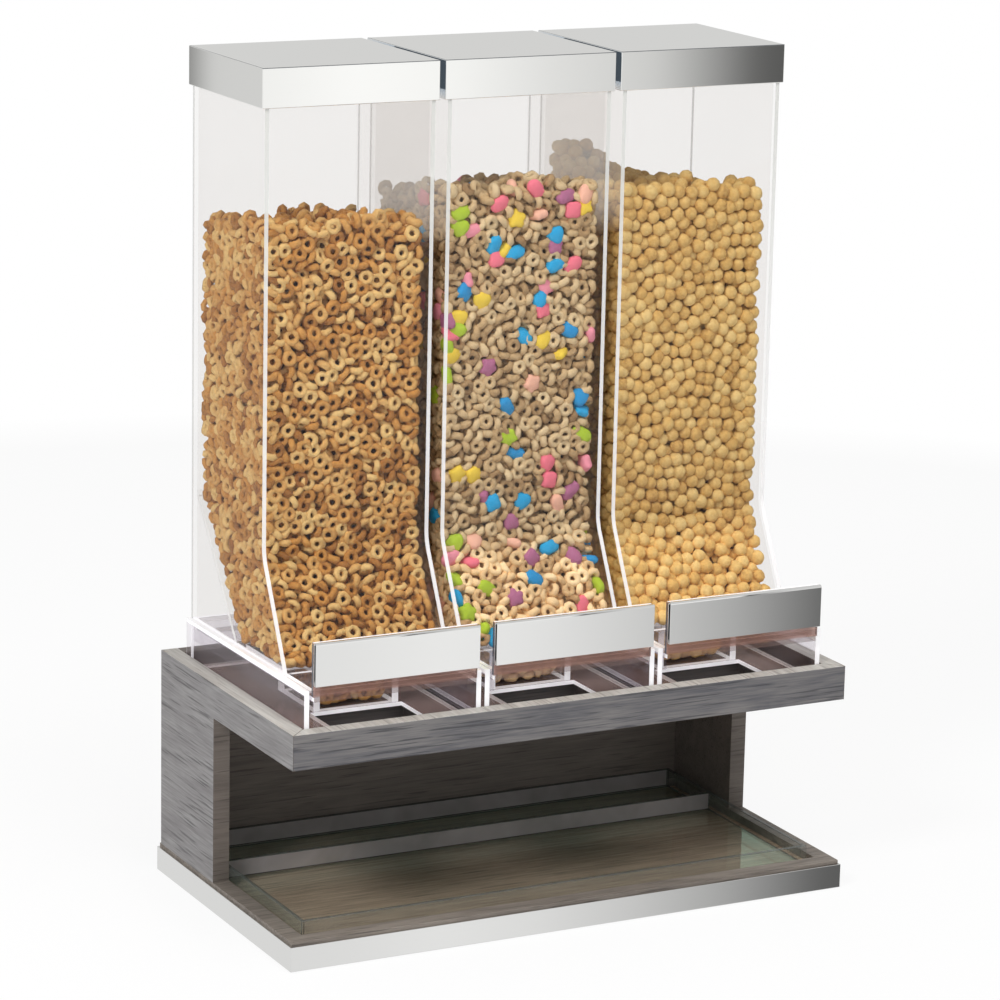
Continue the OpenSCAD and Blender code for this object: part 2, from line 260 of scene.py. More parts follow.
def sugar(name, tone):
    """Puffed sugar bit with a chalky skin."""
    paint = Paint(name)
    mottle = paint.noise(paint.place, 300, 3)
    pale = tuple(0.55 * c + 0.35 for c in tone[:3]) + (1.0,)
    paint.bump(paint.noise(paint.place, 700, 2), 0.3, 0.0005)
    return paint.set(Base_Color=paint.mix(paint.math("MULTIPLY", mottle, 0.1), tone, pale), Roughness=0.65)


# The faces of the stand, one grey oak with painted light and shade: outer sides, shelf rail painted darker,
# level tops painted lighter, inner faces and deck painted darker as shade, base and tray recess
WOOD_SIDE = wood("wood_side", "Y", srgb(146, 144, 144), srgb(116, 113, 114), srgb(74, 71, 74))
WOOD_FRONT_SHADED = wood("wood_front_shaded", "X", srgb(122, 119, 118), srgb(84, 84, 90), srgb(56, 56, 62))
WOOD_TOP_LIT = wood("wood_top_lit", "Y", srgb(196, 193, 187), srgb(166, 162, 156), srgb(128, 121, 116))
WOOD_SHADED = wood("wood_shaded", "X", srgb(118, 109, 102), srgb(100, 92, 86), srgb(76, 69, 64))
WOOD_DECK_SHADED = wood("wood_deck_shaded", "X", srgb(64, 58, 56), srgb(44, 40, 39), srgb(30, 28, 28))
WOOD_BASE = wood("wood_base", "X", srgb(140, 131, 122), srgb(108, 100, 93), srgb(80, 74, 69), 0.6)
WOOD_RECESS = wood("wood_recess", "X", srgb(204, 176, 150), srgb(166, 140, 116), srgb(128, 106, 88), 0.06)
# The lids' tops and fronts, their outer sides, their sides in the gaps with a painted glow, their top edges
# with a painted dark reflection, then the rest
STEEL_LID = steel("steel_lid", "X", (0.97, 0.97, 0.96, 1), 0.035, 0.03)
STEEL_LID_SIDE = steel("steel_lid_side", "Y", (0.97, 0.97, 0.96, 1), 0.025, 0.02)
STEEL_GAP = steel("steel_gap", "Z", (0.90, 0.92, 0.94, 1), 0.035, 0.03, (0.0126, 0.0154, 0.0180, 1))
STEEL_RIM_REFLECTION = steel("steel_rim_reflection", "X", (0.30, 0.31, 0.33, 1), 0.12, 0.03)
STEEL_BAND = steel("steel_band", "X", (0.86, 0.86, 0.86, 1), 0.04, 0.03)
STEEL_HOLDER = steel("steel_holder", "X", (0.92, 0.92, 0.92, 1), 0.04, 0.03)
STEEL_SCREW = steel("steel_screw", "Z", (0.72, 0.72, 0.72, 1), 0.25, 0.10)
RUBBER = rubber("rubber", (0.018, 0.018, 0.02, 1))
# Clear sheet of the hoppers, of their walls next to another bin with a haze of painted light, of the
# channels, and of the tray
CLEAR = acrylic("clear", (0.968, 0.964, 0.960, 1), (0.84, 0.80, 0.80, 1), 0.010)
CLEAR_HAZE_GLOW = acrylic("clear_haze_glow", (0.968, 0.962, 0.960, 1), (0.76, 0.73, 0.69, 1), 0.13, bloom=0.480)
CLEAR_LILAC = acrylic("clear_lilac", (0.948, 0.938, 0.950, 1), (0.66, 0.61, 0.65, 1), 0.05)
CLEAR_TRAY = acrylic("clear_tray", (0.93, 0.94, 0.94, 1), (0.45, 0.44, 0.42, 1), 0.05, 1.0,
                     (0.56, 1.0, 0.78, 1))
TRAY_WALL = acrylic("tray_wall", (0.90, 0.90, 0.90, 1), (0.62, 0.57, 0.58, 1), 0.50, 0.6)
# The channel floor and the foot of the front panel, with a warm haze that is a painted reflection of the
# food beside them
CLEAR_PINK_REFLECTION = acrylic("clear_pink_reflection", (0.92, 0.89, 0.86, 1), (0.68, 0.51, 0.46, 1), 0.26)
CLEAR_WARM_REFLECTION = acrylic("clear_warm_reflection", (0.90, 0.80, 0.76, 1), (0.44, 0.26, 0.22, 1), 0.45)
# Cut edges in painted highlights and shade, and the heights between which their tone changes on the bins and
# on the channels
BIN_LEVELS = (0.27, 0.56)
CHANNEL_LEVELS = (0.15, 0.23)
EDGE = acrylic_edge("edge", srgb(206, 207, 202), srgb(248, 247, 247), *BIN_LEVELS, glow=0.06)
EDGE_LOW = acrylic_edge("edge_low", srgb(252, 252, 254), srgb(248, 246, 250), *CHANNEL_LEVELS, 0.04, 0.22)
EDGE_BACK = acrylic_edge("edge_back", srgb(176, 176, 172), srgb(176, 176, 172), *BIN_LEVELS, 0.5)
EDGE_SHADED = acrylic_edge("edge_shaded", srgb(62, 68, 80), srgb(62, 68, 80), *CHANNEL_LEVELS, 0.1)
EDGE_WARM_GLOW = acrylic_edge("edge_warm_glow", srgb(112, 84, 78), srgb(116, 88, 82), *CHANNEL_LEVELS, 0.6)
EDGE_TRAY = acrylic_edge("edge_tray", srgb(70, 78, 74), srgb(52, 58, 58), 0.015, 0.03, 0.35)
EDGE_LILAC = acrylic_edge("edge_lilac", srgb(206, 200, 220), srgb(206, 200, 220), *CHANNEL_LEVELS, 0.45)
# The middle of each heap, painted dark as the shade deep among the pieces
SHADE_CORES = {
    "toasted_rings": cereal("toasted_core", srgb(120, 72, 36), srgb(92, 54, 28), srgb(66, 38, 20)),
    "sweet_rings": cereal("sweet_core", srgb(118, 90, 62), srgb(92, 68, 46), srgb(66, 48, 34)),
    "grain_balls": cereal("grain_core", srgb(140, 100, 52), srgb(112, 78, 40), srgb(84, 58, 30)),
}

# ---- Pieces made from the CAD solids ----


def bends(edge, least, most=181):
    """Tells whether the two faces at an edge turn by an angle between least and most, in degrees."""
    return len(edge.link_faces) == 2 and math.radians(least) < edge.calc_face_angle(0) < math.radians(most)


def read_node(node, angle=1.0):
    """The CAD node's solid as a bmesh with whole flat faces. Only a curve's facets are shaded smooth."""
    bm = bmesh.new()
    bm.from_mesh(frame["nodes"][node].data)
    bmesh.ops.remove_doubles(bm, verts=bm.verts, dist=0.00001)
    bmesh.ops.dissolve_limit(bm, angle_limit=math.radians(angle), verts=bm.verts, edges=bm.edges)
    bm.normal_update()
    for face in bm.faces:
        face.smooth = sum(bends(edge, 1, 28) for edge in face.edges) > 1
    return bm


def ease(bm, width, segments=2, material=-1):
    """Rounds every sharp edge by width."""
    sharp = [edge for edge in bm.edges if bends(edge, 30)]
    rounded = bmesh.ops.bevel(bm, geom=sharp, offset=width, segments=segments, profile=0.5, affect="EDGES",
                              clamp_overlap=True, material=material)
    for face in rounded["faces"]:
        face.smooth = True
    bm.normal_update()


def dress(bm, name, node, materials):
    """Makes the piece that stands for a CAD node, on the node's own body."""
    mesh = bpy.data.meshes.new(name)
    bm.to_mesh(mesh)
    bm.free()
    for material in materials:
        mesh.materials.append(material)
    piece = bpy.data.objects.new(name, mesh)
    bpy.context.scene.collection.objects.link(piece)
    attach(piece, frame["nodes"][node]["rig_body"])
    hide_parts(node)
    return piece


def eased_piece(node, materials, width, pick=None, segments=2):
    """A rigid piece with eased edges. pick(centre, normal) gives the index of a face's material."""
    bm = read_node(node)
    ease(bm, width, segments)
    if pick:
        for face in bm.faces:
            face.material_index = pick(face.calc_center_median(), face.normal)
    return dress(bm, node + "_finished", node, materials)


def slice_at(bm, point, normal):
    bmesh.ops.bisect_plane(bm, geom=bm.verts[:] + bm.edges[:] + bm.faces[:], plane_co=point, plane_no=normal)


def sheet_piece(node, materials, pick, cuts=(), width=0.00025, eased=1):
    """A piece of clear sheet. pick(centre, normal) gives the index of a face's material, eased that of its
    corners."""
    bm = read_node(node)
    for point, normal in cuts:
        slice_at(bm, point, normal)
    for face in bm.faces:
        face.material_index = int(pick(face.calc_center_median(), face.normal))
    if width:
        ease(bm, width, 1, eased)
    return dress(bm, node + "_clear", node, materials)


def across_axis(axis):
    """A test for the cut edges of a flat plate whose thin side is along this axis."""
    index = "XYZ".index(axis)
    return lambda centre, normal: abs(normal[index]) < 0.5


# ---- Stand ----


def make_stand():
    def side_face(centre, normal):
        # Tops are painted lighter, as light from above; inner, front and back faces are painted darker, as
        # shade.
        if normal.z > 0.7:
            return 1
        return 2 if abs(normal.y) > 0.7 or centre.x * normal.x < 0 else 0

    for node in ("side_left", "side_right"):
        eased_piece(node, [WOOD_SIDE, WOOD_TOP_LIT, WOOD_SHADED], 0.0007, side_face)
    # The rail's front is painted darker than the sides, its top lighter and its back darker, as light and
    # shade.
    eased_piece("shelf_front_rail", [WOOD_FRONT_SHADED, WOOD_TOP_LIT, WOOD_SHADED], 0.0007,
                lambda centre, normal: 1 if normal.z > 0.7 else 2 if normal.y > 0.7 else 0)
    # The back panel and the deck are painted dark, as shade under the shelf.
    eased_piece("back_panel", [WOOD_SHADED], 0.0005)
    eased_piece("shelf_deck", [WOOD_DECK_SHADED], 0.0005)
    below_top = 0.004
    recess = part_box("base_board")[1].z - below_top
    eased_piece("base_board", [WOOD_BASE, WOOD_RECESS], 0.0006,
                lambda centre, normal: int(normal.z > 0.7 and centre.z < recess))
    for node in ("band_front", "band_rear", "band_left", "band_right"):
        eased_piece(node, [STEEL_BAND], 0.0003)
    eased_piece("base_feet", [RUBBER], 0.0004)
    eased_piece("column_screws", [STEEL_SCREW], 0.0001, segments=1)


def make_tray():
    low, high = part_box("tray")
    near = 0.001
    top = high.z - near
    middle = (low.y + high.y) / 2

    def face(centre, normal):
        if normal.z > 0.5:
            return centre.z > top
        # The cross wall and the back wall catch the light, the front wall stays clear
        return 2 if normal.y < -0.5 and centre.y > middle else 0

    sheet_piece("tray", [CLEAR_TRAY, EDGE_TRAY, TRAY_WALL], face, width=0.0005)


# ---- Bins ----


class Hold:
    """The space inside one hopper, read from its walls in the frame."""

    def __init__(self, bay):
        low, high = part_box(bay + "_hopper")
        mesh = frame["nodes"][bay + "_hopper"].data
        near = 0.0002
        self.middle = (low.x + high.x) / 2
        self.half = (high.x - low.x) / 2 - HOPPER_WALL
        self.floor = low.z
        self.top = high.z
        self.back = high.y - HOPPER_WALL
        self.front = min(v.co.y for v in mesh.vertices if v.co.z > high.z - near) + HOPPER_WALL
        # The leaning wall is the largest face outside that looks forward and a little up
        forward = [face for face in mesh.polygons if face.normal.y < -0.5 and face.normal.z > 0.1]
        leaning = max(forward, key=lambda face: face.area)
        self.lean = -np.array([0, leaning.normal.y, leaning.normal.z])
        self.foot = low.y + HOPPER_WALL / self.lean[1]
        ramp_low, ramp_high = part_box(bay + "_ramp")
        self.ramp_y = ramp_low.y
        rise = Vector((ramp_high.y - ramp_low.y, ramp_high.z - ramp_low.z)).normalized()
        self.ramp = np.array([0, -rise.y, rise.x])

    def walls(self, points):
        """Each point's distance to each wall, and the walls' inward normals."""
        x, y, z = points.T
        foot = np.array([self.middle, self.foot, self.floor])
        ramp_foot = np.array([self.middle, self.ramp_y, self.floor])
        upright = y - self.front
        leaning = (points - foot) @ self.lean
        in_front = np.where((upright > leaning)[:, None], np.array([0.0, 1, 0]), self.lean)
        sides = [
            (np.maximum(upright, leaning), in_front),
            (self.half + (x - self.middle), np.array([1.0, 0, 0])),
            (self.half - (x - self.middle), np.array([-1.0, 0, 0])),
            (self.back - y, np.array([0, -1.0, 0])),
            ((points - ramp_foot) @ self.ramp, self.ramp),
            (z - self.floor, np.array([0, 0, 1.0])),
        ]
        return [(gap, np.broadcast_to(normal, points.shape)) for gap, normal in sides]


class Box:
    """The space inside a measure, with the same walls() as a hopper."""

    def __init__(self, low, high):
        self.low, self.high = np.array(low), np.array(high)

    def walls(self, points):
        normals = np.eye(3)
        sides = [(points[:, i] - self.low[i], normals[i]) for i in range(3)]
        sides += [(self.high[i] - points[:, i], -normals[i]) for i in range(3)]
        return [(gap, np.broadcast_to(normal, points.shape)) for gap, normal in sides]


# How the cereal is packed: the share of the space that it takes, how often its pieces push each other apart
# and by what share of their overlap, and how far inside a wall their centres stay, in spacings
DENSITY = 0.74
ROUNDS = 22
PUSH = 0.45
WALL_GAP = 0.45


def settle(space, low, high, spacing, rng):
    """Centres of pieces packed at about this spacing: random points that push each other apart."""
    low, high = np.array(low), np.array(high)
    per_volume = DENSITY / (math.pi / 6 * spacing ** 3)
    points = low + rng.random((int(np.prod(high - low) * per_volume), 3)) * (high - low)
    inside = np.all([gap > 0 for gap, _ in space.walls(points)], axis=0)
    points = points[inside]
    for _ in range(ROUNDS):
        tree = kdtree.KDTree(len(points))
        for i, p in enumerate(points):
            tree.insert(p, i)
        tree.balance()
        pairs = [(i, j) for i, p in enumerate(points) for _, j, _ in tree.find_range(p, spacing) if j > i]
        one, other = np.array(pairs).T
        apart = points[one] - points[other]
        gap = np.maximum(np.linalg.norm(apart, axis=1, keepdims=True), 1e-6)
        push = apart / gap * (spacing - gap) * PUSH
        np.add.at(points, one, push)
        np.add.at(points, other, -push)
        for gap, normal in space.walls(points):
            points += np.clip(spacing * WALL_GAP - gap, 0, None)[:, None] * normal
    return points


def nearest_wall(space, points):
    """Each point's distance to the wall that is nearest to it, and that wall's inward normal."""
    sides = space.walls(points)
    gaps = np.array([gap for gap, _ in sides])
    first = gaps.argmin(axis=0)
    normals = np.array([normal for _, normal in sides])
    return gaps.min(axis=0), normals[first, np.arange(len(points))]


def unit(vectors):
    return vectors / np.maximum(np.linalg.norm(vectors, axis=1, keepdims=True), 1e-9)


def turned(axes, rng):
    """Rotations that carry Z to each axis, with a random spin."""
    spin = rng.random((len(axes), 3)) - 0.5
    side = unit(np.cross(axes, spin))
    return np.stack([side, np.cross(axes, side), axes], axis=2)


def ring(turns, sides, radius, tube, height, rng):
    """A cereal ring around Z, a little uneven in its radius, its thickness and its height."""
    around = np.arange(turns) * 2 * math.pi / turns
    about = np.arange(sides) * 2 * math.pi / sides
    middle = radius * (1 + 0.07 * rng.standard_normal((turns, 1)))
    thick = tube * (1 + 0.10 * rng.standard_normal((turns, 1)))
    high = height * (1 + 0.06 * rng.standard_normal((turns, 1)))
    reach = middle + thick * np.cos(about)
    level = high * np.sin(about)
    points = np.stack([reach * np.cos(around)[:, None], reach * np.sin(around)[:, None], level], axis=2)
    faces = [(t * sides + s, (t + 1) % turns * sides + s, (t + 1) % turns * sides + (s + 1) % sides,
              t * sides + (s + 1) % sides) for t in range(turns) for s in range(sides)]
    return points.reshape(-1, 3), faces


def ball(turns, rows, radius, rng, squash=1.0, petals=0, petal=0.0, lumps=0.05, pillow=1.0):
    """A rounded lump, or with petals a puffed bit whose outline waves that many times. A low pillow flattens
    it."""
    around = np.arange(turns) * 2 * math.pi / turns
    points = [(0, 0, -radius * squash)]
    for row in range(1, rows):
        tilt = math.pi * row / rows - math.pi / 2
        wave = 1 + petal * np.cos(petals * around) + lumps * rng.standard_normal(turns)
        reach = radius * math.cos(tilt) ** pillow * wave
        level = radius * squash * math.sin(tilt) * (1 + lumps * rng.standard_normal(turns))
        points += list(zip(reach * np.cos(around), reach * np.sin(around), level))
    points.append((0, 0, radius * squash))
    last = len(points) - 1
    faces = [(0, 1 + (t + 1) % turns, 1 + t) for t in range(turns)]
    for row in range(rows - 2):
        start = 1 + row * turns
        faces += [(start + t, start + (t + 1) % turns, start + turns + (t + 1) % turns, start + turns + t)
                  for t in range(turns)]
    top = last - turns
    faces += [(top + t, top + (t + 1) % turns, last) for t in range(turns)]
    return np.array(points), faces


def joined(name, heap, materials, body):
    """One mesh of many pieces. heap is [(template points, faces, centres, rotations, sizes, material)]."""
    points, faces, kinds, count = [], [], [], 0
    for shape, sides, centres, turns, sizes, kind in heap:
        for centre, turn, size in zip(centres, turns, sizes):
            points.append(shape @ turn.T * size + centre)
            faces += [tuple(count + i for i in side) for side in sides]
            count += len(shape)
        kinds += [kind] * (len(sides) * len(centres))
    mesh = bpy.data.meshes.new(name)
    mesh.from_pydata(np.concatenate(points).tolist(), [], faces)
    for material in materials:
        mesh.materials.append(material)
    mesh.polygons.foreach_set("material_index", kinds)
    mesh.shade_smooth()
    piece = bpy.data.objects.new(name, mesh)
    bpy.context.scene.collection.objects.link(piece)
    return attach(piece, body)


# How deep the sugar bits, the fine shapes and all pieces go behind the outermost centres, in spacings
BITS_LAYER = 0.4
OUTER_LAYER = 0.85
LAST_LAYER = 1.55
# Up to which distance from a wall pieces are turned to it, and at which the core, painted dark as shade,
# begins, in spacings
WALL_LAYER = 0.8
CORE_LAYER = 1.35
# The share of sugar bits among the pieces that can be one, and the share of them that lies flat
BITS_SHARE = 0.125
BITS_FLAT = 0.8
# The height up to which cereal is packed, before what is above its heap is taken away
HIGHEST = 0.548


class Kind:
    """One kind of cereal: its spacing, its reach across its axis and half its height along it, the share
    that lies flat at a wall, and its shapes, fine and plain."""

    def __init__(self, name, material, spacing, reach, half, flat, fine, plain):
        self.name, self.material, self.spacing = name, material, spacing
        self.reach, self.half, self.flat = reach, half, flat
        self.fine, self.plain = fine, plain


def lay(space, centres, kind, rng, share=None):
    """Turns each piece, a share of them flat against the wall that they touch, and moves it clear of the
    walls."""
    clearance = 0.0003
    # At a wall, a flat piece's axis leans a little off its normal, and any other's lies mostly along it
    leaning = 0.30
    upright = 0.75
    gap, normal = nearest_wall(space, centres)
    loose = unit(rng.standard_normal((len(centres), 3)))
    across = unit(loose - upright * (loose * normal).sum(axis=1, keepdims=True) * normal)
    at_wall = gap < kind.spacing * WALL_LAYER
    flat = (rng.random(len(centres)) < (share or kind.flat)) & at_wall
    axes = np.where(flat[:, None], unit(normal + leaning * loose), np.where(at_wall[:, None], across, loose))
    centres = centres.copy()
    for gap, normal in space.walls(centres):
        along = np.abs((axes * normal).sum(axis=1))
        extent = kind.reach * np.sqrt(1 - along ** 2) + kind.half * along + clearance
        centres += np.clip(extent - gap, 0, None)[:, None] * normal
    return centres, turned(axes, rng)


def heap_of(space, centres, kind, rng, depth):
    """The heap for joined(): fine shapes at the walls and plain ones behind them."""
    smallest, spread = 0.93, 0.13
    placed, turns = lay(space, centres, kind, rng)
    sizes = smallest + spread * rng.random(len(placed))
    heap = []
    outer = depth < kind.spacing * OUTER_LAYER
    for shapes, chosen in ((kind.fine, outer), (kind.plain, ~outer)):
        pick = rng.integers(len(shapes), size=len(placed))
        for i, (shape, sides) in enumerate(shapes):
            mine = chosen & (pick == i)
            heap.append((shape, sides, placed[mine], turns[mine], sizes[mine], 0))
    return heap


RING_SPACING = 0.0092
BALL_SPACING = 0.0100


def ring_kind(name, material, rng, radius, tube, height, flat):
    fine = [ring(9, 5, radius, tube, height, rng) for _ in range(5)]
    plain = [ring(7, 4, radius, tube, height, rng) for _ in range(3)]
    return Kind(name, material, RING_SPACING, radius + tube, height, flat, fine, plain)


def ball_kind(name, material, rng, radius):
    fine = [ball(10, 7, radius, rng, lumps=0.035) for _ in range(5)]
    plain = [ball(7, 5, radius, rng) for _ in range(3)]
    return Kind(name, material, BALL_SPACING, radius, radius, 0.0, fine, plain)


def fill_bin(bay, kind, top, bits, rng):
    """Cereal in one bin up to top(x, y), a core painted dark as shade behind what shows, and the portion in
    the measure.
    """
    hold = Hold(bay)
    low = (hold.middle - hold.half, hold.foot, hold.floor)
    high = (hold.middle + hold.half, hold.back, HIGHEST)
    centres = settle(hold, low, high, kind.spacing, rng)
    under = top(centres[:, 0] - hold.middle, centres[:, 1]) - centres[:, 2]
    gap, _ = nearest_wall(hold, centres)
    depth = np.minimum(gap - kind.spacing * WALL_GAP, np.maximum(under, 0))
    keep = (under > 0) & (depth < kind.spacing * LAST_LAYER)
    centres, depth = centres[keep], depth[keep]
    sweet = (rng.random(len(centres)) < (BITS_SHARE if bits else 0)) & (depth < kind.spacing * BITS_LAYER)
    heap = heap_of(hold, centres[~sweet], kind, rng, depth[~sweet])
    materials = [kind.material]
    if bits:
        materials += bits[1]
        placed, turns = lay(hold, centres[sweet], kind, rng, BITS_FLAT)
        shape_of = rng.integers(len(bits[0]), size=len(placed))
        tone_of = rng.integers(len(bits[1]), size=len(placed))
        for i, (shape, sides) in enumerate(bits[0]):
            for j in range(len(bits[1])):
                mine = (shape_of == i) & (tone_of == j)
                heap.append((shape, sides, placed[mine], turns[mine], np.ones(mine.sum()), 1 + j))
    joined(f"{bay}_{kind.name}", heap, materials, bay + "_bin")
    make_core(bay, hold, kind, top)
    portion(bay, kind, rng)


def make_core(bay, hold, kind, top):
    """The middle of the heap, a closed lump painted dark as shade, behind every wall and below the lowest
    part of its top.
    """
    inset = kind.spacing * CORE_LAYER
    above_floor = 0.001
    lean_shift = inset / hold.lean[1]
    ramp_shift = inset / -hold.ramp[1]
    slope = hold.ramp[2] / -hold.ramp[1]
    floor = hold.floor + above_floor
    back = hold.back - inset
    lean_slope = -hold.lean[2] / hold.lean[1]
    front_foot = hold.foot + lean_shift + above_floor * lean_slope
    front = hold.front + inset
    bend = floor + (front - front_foot) / lean_slope
    ramp_foot = hold.ramp_y - ramp_shift + above_floor * slope
    ramp_top = floor + (back - ramp_foot) / slope
    half = hold.half - inset
    # The outline from the side, as (y, z), with None where the heap's own top gives the height
    rows = [(front_foot, floor), (front, bend), (front, None), (back, None), (back, ramp_top),
            (ramp_foot, floor)]
    bm = bmesh.new()
    ends = []
    for side in (-1, 1):
        loop = []
        for y, z in rows:
            level = z if z is not None else min(float(top(x, y)) for x in (-half, 0, half)) - inset
            loop.append(bm.verts.new((hold.middle + side * half, y, level)))
        ends.append(loop)
    bm.faces.new(ends[0])
    bm.faces.new(ends[1][::-1])
    for i in range(len(rows)):
        j = (i + 1) % len(rows)
        bm.faces.new((ends[0][j], ends[0][i], ends[1][i], ends[1][j]))
    bmesh.ops.recalc_face_normals(bm, faces=bm.faces)
    mesh = bpy.data.meshes.new(bay + "_core")
    bm.to_mesh(mesh)
    bm.free()
    mesh.materials.append(SHADE_CORES[kind.name])
    piece = bpy.data.objects.new(bay + "_core", mesh)
    bpy.context.scene.collection.objects.link(piece)
    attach(piece, bay + "_bin")


def portion(bay, kind, rng):
    """What lies in the measure, which travels with the slide."""
    low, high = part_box(bay + "_measure")
    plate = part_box(bay + "_slide_plate")
    under_plate = 0.0005
    low = (low.x + MEASURE_WALL, low.y + MEASURE_WALL, low.z)
    high = (high.x - MEASURE_WALL, high.y - MEASURE_WALL, plate[1].z - under_plate)
    space = Box(low, high)
    centres = settle(space, low, high, kind.spacing, rng)
    heap = heap_of(space, centres, kind, rng, np.zeros(len(centres)))
    joined(f"{bay}_portion", heap, [kind.material], bay + "_slide")


# Where the heaps' tops start and how far back they reach, their waves, and the breadth of a lump on them
HEAP_FRONT = -0.02
HEAP_DEPTH = 0.118
HEAP_WAVE = 0.003
LUMP_DEPTH = 0.03
LUMP_STRETCH = 1.35


def heaped(front, back, lump=0.0, lump_x=0.0, lump_y=0.0):
    """The top of a heap as a function of x, from the bin's middle, and y: slightly wavy, with these heights
    at its front and back and one lump on it."""
    def top(x, y):
        level = front + (back - front) * (y - HEAP_FRONT) / HEAP_DEPTH
        off = ((x - lump_x) / LUMP_STRETCH) ** 2 + (y - lump_y) ** 2
        waves = np.sin(90 * x + 1) + np.sin(75 * y + 120 * x)
        return level + lump * np.exp(-off / LUMP_DEPTH ** 2) + HEAP_WAVE * waves
    return top


# Which side of a bin is outside the row: -1 left, 1 right, 0 neither
OUTER_SIDE = {"left": -1, "middle": 0, "right": 1}


def make_hopper(bay):
    hold = Hold(bay)
    inner = hold.half
    middle = hold.middle
    near = 0.0001

    def is_edge(centre, normal):
        at_front = normal.y < -0.5 and abs(centre.x - middle) > inner + near
        return at_front or (abs(normal.z) > 0.9 and centre.z > hold.top - near)

    def face(centre, normal):
        if is_edge(centre, normal):
            return 1
        if normal.z < -0.9:
            return 4
        if abs(normal.x) > 0.5 and centre.y > hold.back + near:
            return 3
        # A wall next to another bin shows a haze of painted light, which the outer ones don't
        return 2 if abs(normal.x) > 0.5 and (centre.x - middle) * OUTER_SIDE[bay] <= 0 else 0

    cuts = [((middle - inner, 0, 0), (1, 0, 0)), ((middle + inner, 0, 0), (1, 0, 0)),
            ((0, hold.back, 0), (0, 1, 0))]
    sheet_piece(bay + "_hopper", [CLEAR, EDGE, CLEAR_HAZE_GLOW, EDGE_BACK, EDGE_LOW], face, cuts, 0)
    sheet_piece(bay + "_ramp", [CLEAR, EDGE], lambda centre, normal: abs(normal.x) > 0.5)


def edges_and_front(axis):
    """A test for a plate's bright cut edges and for its front edge, painted with a warm glow of the food
    behind it.
    """
    edge = across_axis(axis)
    return lambda centre, normal: 2 if normal.y < -0.5 else edge(centre, normal)


def make_channel(bay):
    sheets = [CLEAR_LILAC, EDGE_LOW, EDGE_WARM_GLOW]
    near = 0.0001
    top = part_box(bay + "_cheeks")[1].z
    # The side walls are bright along their top, where the guide rails are bonded to them, with a painted
    # highlight
    bond_height = 0.003
    bond = top - bond_height
    sheet_piece(bay + "_cheeks", sheets, lambda centre, normal: (
        normal.z > 0.5 or normal.y < -0.5 or abs(normal.x) > 0.5 and centre.z > bond),
        [((0, 0, bond), (0, 0, 1))])
    sheet_piece(bay + "_channel_back", sheets, across_axis("Y"))
    sheet_piece(bay + "_channel_floor", [CLEAR_PINK_REFLECTION, EDGE_LOW], across_axis("Z"))
    sheet_piece(bay + "_guide_rails", [CLEAR_LILAC, EDGE_LOW, EDGE_LILAC], lambda centre, normal: (
        0 if normal.z < 0.5 else 1 if centre.z > top - near else 2), eased=0)
    sheet_piece(bay + "_cover_plate", sheets, edges_and_front("Z"))
    sheet_piece(bay + "_stop_bar", sheets, lambda centre, normal: 0, eased=0)


def make_slide(bay):
    sheet_piece(bay + "_slide_plate", [CLEAR_LILAC, EDGE_LOW, EDGE_WARM_GLOW], edges_and_front("Z"), eased=2)
    low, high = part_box(bay + "_measure")
    left, right = low.x + MEASURE_WALL, high.x - MEASURE_WALL
    box_cuts = [((left, 0, 0), (1, 0, 0)), ((right, 0, 0), (1, 0, 0))]
    sheet_piece(bay + "_measure", [CLEAR, EDGE_LOW], lambda centre, normal: abs(normal.z) > 0.5 or (
        abs(normal.y) > 0.5 and not left < centre.x < right), box_cuts)
    strip_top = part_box(bay + "_label_holder")[0].z
    # The panel's foot below the label holder carries a painted reflection of the food.
    panel = [CLEAR_LILAC, EDGE_LOW, EDGE_SHADED, CLEAR_WARM_REFLECTION]
    # Its side edges are painted dark, as shade.
    sheet_piece(bay + "_front_panel", panel, lambda centre, normal: (
        2 if abs(normal.x) > 0.5 else 3 if centre.z < strip_top else normal.z > 0.5),
        [((0, 0, strip_top), (0, 0, 1))], eased=3)


def make_lid(bay):
    sheet_piece(bay + "_lid_liner", [CLEAR, EDGE], lambda centre, normal: abs(normal.z) > 0.5)

    def face(centre, normal):
        # The sides in the gaps glow with painted light; the upward edges carry a painted dark reflection.
        if abs(normal.x) > 0.9:
            return 1 if normal.x * OUTER_SIDE[bay] <= 0 else 3
        return 2 if 0.2 < normal.z < 0.98 and normal.y < 0.3 else 0

    steels = [STEEL_LID, STEEL_GAP, STEEL_RIM_REFLECTION, STEEL_LID_SIDE]
    eased_piece(bay + "_lid", steels, 0.0005, face)


def make_label_holder(bay):
    # The holder's ends are painted dark, as shade.
    eased_piece(bay + "_label_holder", [STEEL_HOLDER, EDGE_SHADED], 0.0002,
                lambda centre, normal: int(abs(normal.x) > 0.9), 1)


# The sugar bits' colours, and their outlines as the number of petals and how far they stand out
SUGAR_TONES = {
    "pink": (244, 120, 140), "rose": (242, 150, 168), "yellow": (240, 206, 60), "blue": (0, 146, 210),
    "sky": (0, 164, 220), "green": (176, 204, 36), "mauve": (178, 104, 142), "peach": (244, 186, 160),
}
BIT_OUTLINES = ((3, 0.10), (5, 0.15), (2, 0.30), (4, 0.12), (2, 0.18))


